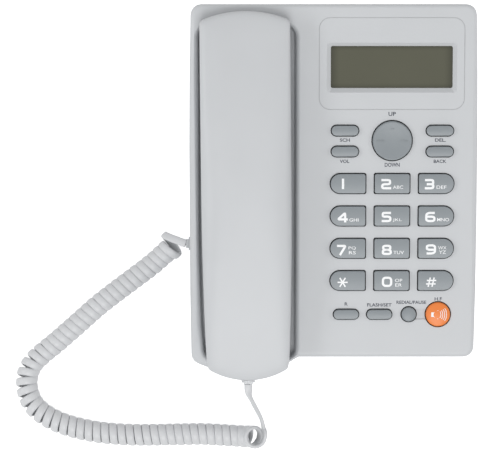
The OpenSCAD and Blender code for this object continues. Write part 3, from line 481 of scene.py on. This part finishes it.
# ---------------------------------------------------------------------------
# Underside: a hatch over the battery bay, four soft rubber feet and four
# plated screws in sunk holes, with the ballast plate on two pegs inside.
# ---------------------------------------------------------------------------
rubber = finish_of("foot_rubber", (0.05, 0.05, 0.055), 0.75, 0.2, 1400.0, 0.00004)
steel = finish_of("plated_steel", (0.62, 0.62, 0.60), 0.32, 0.15, 900.0, 0.00001, 1.0)
dark_steel = finish_of("bare_steel", (0.30, 0.30, 0.31), 0.45, 0.3, 600.0, 0.00003, 1.0)
dress("battery_door", shell, 0.15)
dress("rubber_feet", rubber, 0.4)
dress("base_screws", steel, 0.15)
dress("ballast_plate", dark_steel, 0.2)
dress("batteries", finish_of("cell_sleeve", (0.12, 0.30, 0.16), 0.3, 0.1, 900.0, 0.00001), 0.2)
dress("battery_contacts", steel, 0)

# ---------------------------------------------------------------------------
# Electronics: green glass-fibre boards, the speaker, the sockets of
# black nylon, the hook switch and the grey ribbon between the boards.
# ---------------------------------------------------------------------------
board = finish_of("circuit_board", (0.035, 0.16, 0.07), 0.35, 0.35, 700.0, 0.00004)
nylon = finish_of("black_nylon", (0.03, 0.03, 0.032), 0.4, 0.15, 1200.0, 0.00002)
dress("keypad_board", board, 0)
dress("main_board", board, 0)
dress("keypad_board_screws", steel, 0)
silicone = finish_of("carbon_silicone", (0.35, 0.36, 0.37), 0.55, 0.1, 900.0, 0.00002)
dress("keypad_membrane", silicone, 0)
dress("ribbon_cable", finish_of("ribbon", (0.42, 0.42, 0.40), 0.5, 0.1, 1500.0, 0.00002), 0)
dress("hook_plunger", shell, 0.3)
for name in ("hook_switch", "line_socket", "base_handset_socket", "ringer_switch", "handset_socket"):
    dress(name, nylon, 0.15)
for name in ("loudspeaker", "handsfree_microphone", "handset_microphone", "receiver"):
    dress(name, dark_steel, 0.2)
dress("receiver_gasket", rubber, 0)
dress("handset_ballast", dark_steel, 0.2)
dress("handset_screws", steel, 0.15)
dress("ringer_knob", shell, 0.2)

# ---------------------------------------------------------------------------
# Handset: two long shells of the base's plastic screwed together, a deep cap
# over the receiver with its sound holes and a shallower one over the microphone.
# ---------------------------------------------------------------------------
HS_LEN = 210.0
BACK_MID = 22.0
BACK_END = 12.0
BACK_R = ((HS_LEN / 2) ** 2 + (BACK_MID - BACK_END) ** 2) / (2 * (BACK_MID - BACK_END))
YAW = math.radians(0.55)
HS_U = -48.4
HS_V = -12.0
HS_HALF = 25.5
HS_TAPER = 2.4
HS_WALL = 2.2
CORNER_R = 3.5
MOUTH_ARC = 42
EAR_ARC = 64
SEAM_MID = 10.5
SEAM_MOUTH = 6.3
SEAM_EAR = 5.5
GRIP_UNDER = -2.5
END_RISE = 3.2
# The mouth of the cord's socket, cut through both shells at the lower end
SOCKET_S = 5.2
SOCKET_HALF = 4.2
SOCKET_W = (3.6, 10.2)


def on_handset(x, s, w):
    """Point of the handset: across it, along it from the mouth end and out of the face."""
    u = HS_U + x * math.cos(YAW) - s * math.sin(YAW)
    return on_face(u, HS_V + x * math.sin(YAW) + s * math.cos(YAW), w)


def half_width(s):
    return HS_HALF - HS_TAPER * max(0.0, 1 - 2 * s / HS_LEN) ** 2


def end_arc(half, big, inset):
    """Right half of one end, from its apex round the corner."""
    h = half - CORNER_R
    dy = math.sqrt((big - CORNER_R) ** 2 - h * h)
    a = math.asin(h / (big - CORNER_R))
    r = big - inset
    out = [(r * math.sin(a * k / 40), big - r * math.cos(a * k / 40)) for k in range(40)]
    for k in range(11):
        b = a + (math.pi / 2 - a) * k / 10
        out.append((h + (CORNER_R - inset) * math.sin(b), big - dy - (CORNER_R - inset) * math.cos(b)))
    return out


def handset_outline(inset):
    mouth = end_arc(half_width(0), MOUTH_ARC, inset)
    ear = [(x, HS_LEN - y) for x, y in reversed(end_arc(HS_HALF, EAR_ARC, inset))]
    s0, s1 = mouth[-1][1], ear[0][1]
    side = [(half_width(s) - inset, s) for s in (s0 + (s1 - s0) * k / 80 for k in range(1, 80))]
    right = mouth + side + ear
    return right + [(-x, y) for x, y in reversed(right[1:-1])]


def seam_height(s):
    """Height of the seam between the shells, highest in the middle of the handset."""
    t = s / HS_LEN * 2 - 1
    return SEAM_MID - (SEAM_MID - (SEAM_MOUTH if t < 0 else SEAM_EAR)) * t * t


def drawn_in(inset, share):
    """The outline drawn in towards the spine: places across and along, and whether the socket is there."""
    for x, y in handset_outline(inset):
        spine = min(max(y, HS_HALF), HS_LEN - HS_HALF)
        yield x * share, spine + (y - spine) * share, abs(x) < SOCKET_HALF


def back_ring(inset, share, lift=0.0):
    """One ring of the back, at the height of its crown."""
    ring = []
    for x, s, middle in drawn_in(inset, share):
        low = seam_height(s)
        top = BACK_MID - BACK_R + math.sqrt(BACK_R ** 2 - (s - HS_LEN / 2) ** 2) - inset
        e = 7 - 3.6 * math.sin(math.pi * min(max(s / HS_LEN, 0), 1)) ** 2
        w = low + (top - low) * (1 - share ** e) ** (1 / e) + lift
        if s < SOCKET_S and middle:
            w = max(w, SOCKET_W[1])
        ring.append(on_handset(x, s, w))
    return ring


def under_ring(inset, share, drop=0.0):
    """One ring of the underside: flat along the grip and rising over the cradle's rims at both ends."""
    ring = []
    for x, s, middle in drawn_in(inset, share):
        top = seam_height(s)
        rise = min(1.0, max(0.0, (19 - min(s, HS_LEN - s)) / 12))
        low = min(top, GRIP_UNDER + END_RISE * (1 - math.cos(math.pi * rise)) / 2 + inset)
        w = top - (top - low) * max(0.0, 1 - share ** 5) ** 0.2 - drop
        if s < SOCKET_S and middle:
            w = min(w, SOCKET_W[0])
        ring.append(on_handset(x, s, w))
    return ring


def skin(name, rings):
    """Closed shell through rings that draw in to the spine at both ends."""
    verts = [p for ring in rings for p in ring]
    n = len(rings[0])
    faces = [(k * n + i, k * n + (i + 1) % n, (k + 1) * n + (i + 1) % n, (k + 1) * n + i)
             for k in range(len(rings) - 1) for i in range(n)]
    made = mesh_piece(name, verts, faces)
    bm = bmesh.new()
    bm.from_mesh(made.data)
    bmesh.ops.remove_doubles(bm, verts=bm.verts, dist=0.00001)
    bmesh.ops.dissolve_degenerate(bm, edges=bm.edges, dist=0.000002)
    bmesh.ops.recalc_face_normals(bm, faces=bm.faces)
    bm.to_mesh(made.data)
    bm.free()
    made.data.shade_smooth()
    made.data.set_sharp_from_angle(angle=math.radians(40))
    paint(made, shell)
    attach(made, "handset")
    return made


INSIDE = (1, 0.98, 0.92, 0.8, 0.6, 0.3, 0)
CURVED = [math.sin(math.pi / 2 * k / 40) ** 0.4 for k in range(40)]
rings = [back_ring(0, f) for f in CURVED] + [back_ring(0, 1, 0.3), back_ring(0.25, 1)]
handset_back = skin("handset_back", rings + [back_ring(HS_WALL, f) for f in INSIDE])
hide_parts("handset_outer_shell")
rings = [under_ring(0, f) for f in CURVED] + [under_ring(0, 1, 0.2), under_ring(0.2, 1)]
handset_grip = skin("handset_grip", rings + [under_ring(HS_WALL, f) for f in INSIDE])
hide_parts("handset_inner_shell")
dress("ear_cap", shell, 0.3)
dress("mouth_cap", shell, 0.3)

# ---------------------------------------------------------------------------
# Plugs: clear polycarbonate bodies of the small four-way kind, one at each end
# of the handset cord, only partly clear here.
# ---------------------------------------------------------------------------
clear = finish_of("clear_plug", (0.78, 0.80, 0.82), 0.15, 0.05, 500.0, 0.00001, 0.0,
                  Transmission_Weight=0.55, IOR=1.5)
dress("base_plug", clear, 0.2)
dress("handset_plug", clear, 0.2)

# ---------------------------------------------------------------------------
# Display: a bezel of the shell's plastic let into the face round a smoked
# window. The window is opaque here: its olive grey stands for the panel's too.
# ---------------------------------------------------------------------------
dress("display_bezel", shell, 0.38)
dress("lcd_module", nylon, 0)
# A grey strip sunk in the groove round the bezel, darker than the shell: painted shade of the groove
BEZEL_U = 33.0
BEZEL_V = 168.2
LIP_X = 35.0
LIP_Y = 19.8
LIP_R = 6.15
LIP_HALF = 0.45
LIP_SUNK = 0.16
lip = []
for k in range(128):
    corner, a = divmod(k, 32)
    a = math.radians(90 * (corner + a / 31))
    cx, cy = ((1, 1), (-1, 1), (-1, -1), (1, -1))[corner]
    lip.append((cx * LIP_X + LIP_R * math.cos(a), cy * LIP_Y + LIP_R * math.sin(a), math.cos(a), math.sin(a)))
verts = []
for d in (-LIP_HALF, LIP_HALF):
    verts += [on_face(BEZEL_U + x + d * cx, BEZEL_V + y + d * cy, -LIP_SUNK) for x, y, cx, cy in lip]
faces = [(k, (k + 1) % 128, 128 + (k + 1) % 128, 128 + k) for k in range(128)]
bezel_groove_strip = mesh_piece("bezel_groove_strip", verts, faces)
paint(bezel_groove_strip, finish_of("bezel_groove_shade", (0.44, 0.45, 0.46), 0.5, 0.05, 2200.0, 0.000012))
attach(bezel_groove_strip, "base")
window = finish_of("smoked_window", (0.098, 0.098, 0.068), 0.12, 0.10, 300.0, 0.000004)
dress("display_window", window, 0.1)
# Painted shade: the window's colour darkens towards its edges, to 0.62 at the rim, like the bezel's shadow
# falling on it
tree = window.node_tree
edge_of = tree.nodes.new("ShaderNodeTexCoord")
cut = tree.nodes.new("ShaderNodeSeparateXYZ")
tree.links.new(edge_of.outputs["Generated"], cut.inputs[0])
shares = []
for axis_name, reach in (("X", 0.09), ("Y", 0.16)):
    away = tree.nodes.new("ShaderNodeMath")
    away.operation = "PINGPONG"
    away.inputs[1].default_value = 0.5
    tree.links.new(cut.outputs[axis_name], away.inputs[0])
    ramp = tree.nodes.new("ShaderNodeMapRange")
    ramp.interpolation_type = "SMOOTHSTEP"
    ramp.inputs["From Min"].default_value = 0.0
    ramp.inputs["From Max"].default_value = reach
    ramp.inputs["To Min"].default_value = 0.62
    tree.links.new(away.outputs[0], ramp.inputs["Value"])
    shares.append(ramp.outputs[0])
both = tree.nodes.new("ShaderNodeMath")
both.operation = "MULTIPLY"
tree.links.new(shares[0], both.inputs[0])
tree.links.new(shares[1], both.inputs[1])
glass = tree.nodes.new("ShaderNodeVectorMath")
glass.operation = "SCALE"
tree.links.new(next(n for n in tree.nodes if n.type == "GROUP").outputs["Color"], glass.inputs[0])
tree.links.new(both.outputs[0], glass.inputs["Scale"])
tree.links.new(glass.outputs[0], tree.nodes["Principled BSDF"].inputs["Base Color"])

# ---------------------------------------------------------------------------
# Keys: moulded caps in a bluish grey, their tops crowned and printed in white;
# the hands-free key is orange. Each one rides its own press.
# ---------------------------------------------------------------------------
# The keys' materials carry painted shade on their sides deep in the gaps
cap_grey = finish_of("key_plastic", (0.258, 0.284, 0.302), 0.36, 0.06, 2400.0, 0.00001, 0.0, True)
cap_orange = finish_of("orange_key_plastic", (0.83, 0.225, 0.045), 0.34, 0.06, 2400.0, 0.00001, 0.0, True)
white_ink = finish_of("white_ink", (0.90, 0.91, 0.92), 0.5, 0.06, 3000.0, 0.000005)
grey_ink = finish_of("blue_grey_ink", (0.045, 0.052, 0.075), 0.5, 0.10, 3000.0, 0.000005)
KEY_U = 33.5
KEY_V = 44.3
PITCH_U = 25.1
PITCH_V = 18.57
PROUD = 2.0
DIAL = {"1": (-1, 3), "2": (0, 3), "3": (1, 3), "4": (-1, 2), "5": (0, 2), "6": (1, 2),
        "7": (-1, 1), "8": (0, 1), "9": (1, 1), "star": (-1, 0), "0": (0, 0), "hash": (1, 0)}
for name in DIAL:
    dress("key_" + name, cap_grey, 0.45)
SMALL_KEYS = ("key_search", "key_volume", "key_delete", "key_back", "key_recall", "key_flash", "key_redial")
for name in SMALL_KEYS + ("nav_rocker",):
    dress(name, cap_grey, 0.45)
dress("key_handsfree", cap_orange, 0.35)

# Widths of the figures' strokes and of the two signs', their corners and the letters' height
FIGURE_W = 1.3
SIGN_W = 0.8
FIGURE_CORNER = 0.8
LETTER_H = 1.9
INK = 0.03
FIGURES = {
    "1": [[(0, -3), (0, 3)]],
    "2": [[(-2.7, 2.35), (1, 2.35), (2.2, 2.1), (2.25, 0.3), (1, 0), (-1, 0), (-2.2, -0.4), (-2.2, -2.3),
           (2.9, -2.3)]],
    "3": [[(-2.5, 2.35), (1, 2.35), (2.1, 2.1), (2.2, 0.2), (0.8, 0), (-1.5, 0)],
          [(0.8, 0), (2.2, -0.2), (2.2, -2), (1, -2.3), (-2.6, -2.3)]],
    "4": [[(1.5, -3), (1.5, 2.4), (-2.6, -1.25), (3, -1.25)]],
    "5": [[(2.6, 2.35), (-2.1, 2.35), (-2.1, 0.25), (1, 0.25), (2.2, -0.1), (2.2, -2), (1, -2.3),
           (-2.7, -2.3)]],
    "6": [[(2.5, 2.35), (-0.8, 2.35), (-2.3, 1.6), (-2.3, -1.7), (-1.2, -2.3), (1.2, -2.3), (2.3, -1.9),
           (2.3, -0.2), (1.2, 0.2), (-2.3, 0.2)]],
    "7": [[(-2.9, 2.3), (2.0, 2.3), (-1.2, -3)]],
    "8": [[(0, 0.05), (-1.2, 0.1), (-2.0, 0.6), (-2.0, 2.0), (-1.0, 2.35), (1.0, 2.35), (2.0, 2.0),
           (2.0, 0.6), (1.2, 0.1), (0, 0.05)],
          [(0, 0.05), (1.2, 0), (2.25, -0.5), (2.25, -2), (1.2, -2.3), (-1.2, -2.3), (-2.25, -2),
           (-2.25, -0.5), (-1.2, 0), (0, 0.05)]],
    "9": [[(-2.5, -2.35), (0.8, -2.35), (2.3, -1.6), (2.3, 1.7), (1.2, 2.3), (-1.2, 2.3), (-2.3, 1.9),
           (-2.3, 0.2), (-1.2, -0.2), (2.3, -0.2)]],
    "0": [[(0, 2.35), (1.5, 2.3), (2.35, 1.4), (2.35, -1.4), (1.5, -2.3), (0, -2.35), (-1.5, -2.3),
           (-2.35, -1.4), (-2.35, 1.4), (-1.5, 2.3), (0, 2.35)]],
    "star": [[(-2.9, 0), (2.9, 0)], [(-1.6, -2.6), (1.6, 2.6)], [(1.6, -2.6), (-1.6, 2.6)]],
    "hash": [[(-1.7, -2.7), (-0.5, 2.7)], [(0.5, -2.7), (1.7, 2.7)],
             [(-2.9, -1.0), (2.5, -1.0)], [(-2.5, 1.0), (2.9, 1.0)]],
}
# Place of each figure from the middle of its key
FIGURE_AT = {"1": (-2.9, 0), "2": (-3.5, -0.2), "3": (-4.0, -0.2), "4": (-3.1, -0.5),
             "5": (-3.2, -0.4), "6": (-3.3, -0.4), "7": (-3.3, -0.7), "8": (-2.9, -0.7),
             "9": (-2.8, -0.4), "star": (-2.9, -0.8), "0": (-2.6, -0.5), "hash": (-2.5, -0.7)}
# Letters beside the figures, by line: text, place of its middle and its width
LETTERS = {"2": [("ABC", 3.3, -1.9, 5.8)], "3": [("DEF", 2.9, -1.9, 5.6)], "4": [("GHI", 3.4, -2.1, 5.2)],
           "5": [("JKL", 3.0, -2.2, 5.2)], "6": [("MNO", 4.0, -1.9, 6.8)], "8": [("TUV", 3.9, -2.2, 6.0)],
           "7": [("PQ", 2.5, 0.3, 4.2), ("RS", 2.6, -2.3, 4.0)],
           "9": [("WX", 3.7, 0.5, 4.8), ("YZ", 3.8, -2.0, 4.0)],
           "0": [("OP", 4.0, 0.3, 4.2), ("ER", 4.0, -2.3, 3.8)]}


def rounded(points, radius):
    """The line with its corners replaced by short arcs."""
    out = [Vector(points[0])]
    for a, b, c in zip(points, points[1:], points[2:]):
        a, b, c = Vector(a), Vector(b), Vector(c)
        cut = min(radius, (b - a).length * 0.45, (c - b).length * 0.45)
        p, q = b + (a - b).normalized() * cut, b + (c - b).normalized() * cut
        for k in range(5):
            t = k / 4
            out.append((1 - t) ** 2 * p + 2 * t * (1 - t) * b + t * t * q)
    out.append(Vector(points[-1]))
    return out


def stroke(points, width, verts, faces):
    """Flat strip of one width along a line in the plane, cut finely enough to lie on a crown."""
    line = [points[0]]
    for a, b in zip(points, points[1:]):
        n = max(1, math.ceil((b - a).length / 0.7))
        line += [a.lerp(b, (k + 1) / n) for k in range(n)]
    start = len(verts)
    for i, p in enumerate(line):
        t = line[min(i + 1, len(line) - 1)] - line[max(i - 1, 0)]
        side = Vector((-t.y, t.x)).normalized() * width / 2
        verts += [p + side, p - side]
    for i in range(len(line) - 1):
        a = start + 2 * i
        faces.append((a, a + 1, a + 3, a + 2))


def printed(name, verts, faces, u, v, height, body, ink):
    """Ink laid on a surface: flat points around (u, v), each raised to height(x, y) over the face."""
    top = [on_face(u + p[0], v + p[1], height(p[0], p[1]) + INK) for p in verts]
    made = mesh_piece(name, top, faces)
    bm = bmesh.new()
    bm.from_mesh(made.data)
    bmesh.ops.recalc_face_normals(bm, faces=bm.faces)
    if sum(f.normal.z for f in bm.faces) < 0:
        bmesh.ops.reverse_faces(bm, faces=bm.faces)
    bm.to_mesh(made.data)
    bm.free()
    made.data.shade_flat()
    paint(made, ink)
    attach(made, body)
    return made


def lettering(text, height, width, bold=0.12):
    """Flat outline letters centred on the origin, as points and triangles."""
    curve = bpy.data.curves.new("lettering", "FONT")
    curve.body = text
    curve.size = 10
    curve.resolution_u = 3
    curve.offset = bold
    made = bpy.data.objects.new("lettering", curve)
    scene.collection.objects.link(made)
    bpy.context.view_layer.update()
    flat = made.to_mesh()
    pts = [Vector((v.co.x, v.co.y)) for v in flat.vertices]
    tris = [tuple(p.vertices) for p in flat.polygons]
    made.to_mesh_clear()
    bpy.data.objects.remove(made)
    bpy.data.curves.remove(curve)
    x0, x1 = min(p.x for p in pts), max(p.x for p in pts)
    y0, y1 = min(p.y for p in pts), max(p.y for p in pts)
    wide, tall = width / (x1 - x0), height / (y1 - y0)
    middle = Vector(((x0 + x1) / 2, (y0 + y1) / 2))
    return [Vector(((p - middle).x * wide, (p - middle).y * tall)) for p in pts], tris


def crown(radius):
    return lambda x, y: PROUD - radius + math.sqrt(radius * radius - y * y)


dial_top = crown(40.0)
for name, (col, row) in DIAL.items():
    u, v = KEY_U + col * PITCH_U, KEY_V + row * PITCH_V
    verts, faces = [], []
    for line in FIGURES[name]:
        width = SIGN_W if name in ("star", "hash") else FIGURE_W
        stroke([p + Vector(FIGURE_AT[name]) for p in rounded(line, FIGURE_CORNER)], width, verts, faces)
    printed("figure_" + name, verts, faces, u, v, dial_top, "key_" + name, white_ink)
    for text, x, y, width in LETTERS.get(name, ()):
        pts, tris = lettering(text, LETTER_H, width, 0.04)
        pts = [p + Vector((x, y)) for p in pts]
        printed("letters_" + text.lower(), pts, tris, u, v, dial_top, "key_" + name, white_ink)

# Loudspeaker sign on the hands-free key, whose top falls from its middle to its edge
sign = [(-3.9, -1.3), (-2.6, -1.3), (0.1, -2.6), (0.1, 2.6), (-2.6, 1.3), (-3.9, 1.3)]
verts, faces = [Vector(p) for p in sign], [(0, 1, 4, 5), (1, 2, 3, 4)]
for r in (3.6, 4.7, 5.8, 6.9):
    turns = [math.radians(-32 + 6.4 * k) for k in range(11)]
    arc = [Vector((-2.0 + r * math.cos(a), r * math.sin(a))) for a in turns]
    stroke(arc, 0.35, verts, faces)
printed("sign_handsfree", verts, faces, KEY_U + 26.7, KEY_V - 19.5,
        lambda x, y: PROUD - 0.8 * (x * x + y * y) / 43.6, "key_handsfree", white_ink)

# Raised marks on the dished rocker: a short bar on each side and a small one at the top
verts, faces = [], []
for x in (-6.6, 6.6):
    stroke([Vector((x - 1.9, 0)), Vector((x + 1.9, 0))], 0.6, verts, faces)
stroke([Vector((-0.8, 6.6)), Vector((0.8, 6.6))], 0.5, verts, faces)
marks = printed("rocker_marks", verts, faces, KEY_U - 0.1, KEY_V + 80.2,
                lambda x, y: PROUD - 0.7 + 0.6 * (x * x + y * y) / 84.6 + 0.05, "nav_rocker", cap_grey)
solid = marks.modifiers.new("raised", "SOLIDIFY")
solid.thickness = 0.25 * MM
solid.offset = 1

LABELS = [("UP", 33.3, 139.7, 4.2, 2.3), ("DOWN", 33.5, 110.7, 8.5, 2.3), ("SCH", 6.5, 124.8, 5.7, 1.9),
          ("VOL", 6.4, 112.7, 5.4, 1.9), ("DEL.", 60.8, 124.8, 6.2, 1.9), ("BACK", 60.7, 112.7, 7.2, 1.9),
          ("R", 7.7, 30.7, 1.8, 1.9), ("FLASH/SET", 26.7, 30.2, 14.0, 1.9),
          ("REDIAL/PAUSE", 45.0, 31.7, 17.0, 1.9), ("H.F", 60.4, 33.6, 4.2, 1.9)]
for text, u, v, width, height in LABELS:
    pts, tris = lettering(text, height, width, 0.2)
    name = "label_" + "".join(c for c in text.lower() if c.isalpha())
    printed(name, pts, tris, u, v, lambda x, y: 0.0, "base", grey_ink)
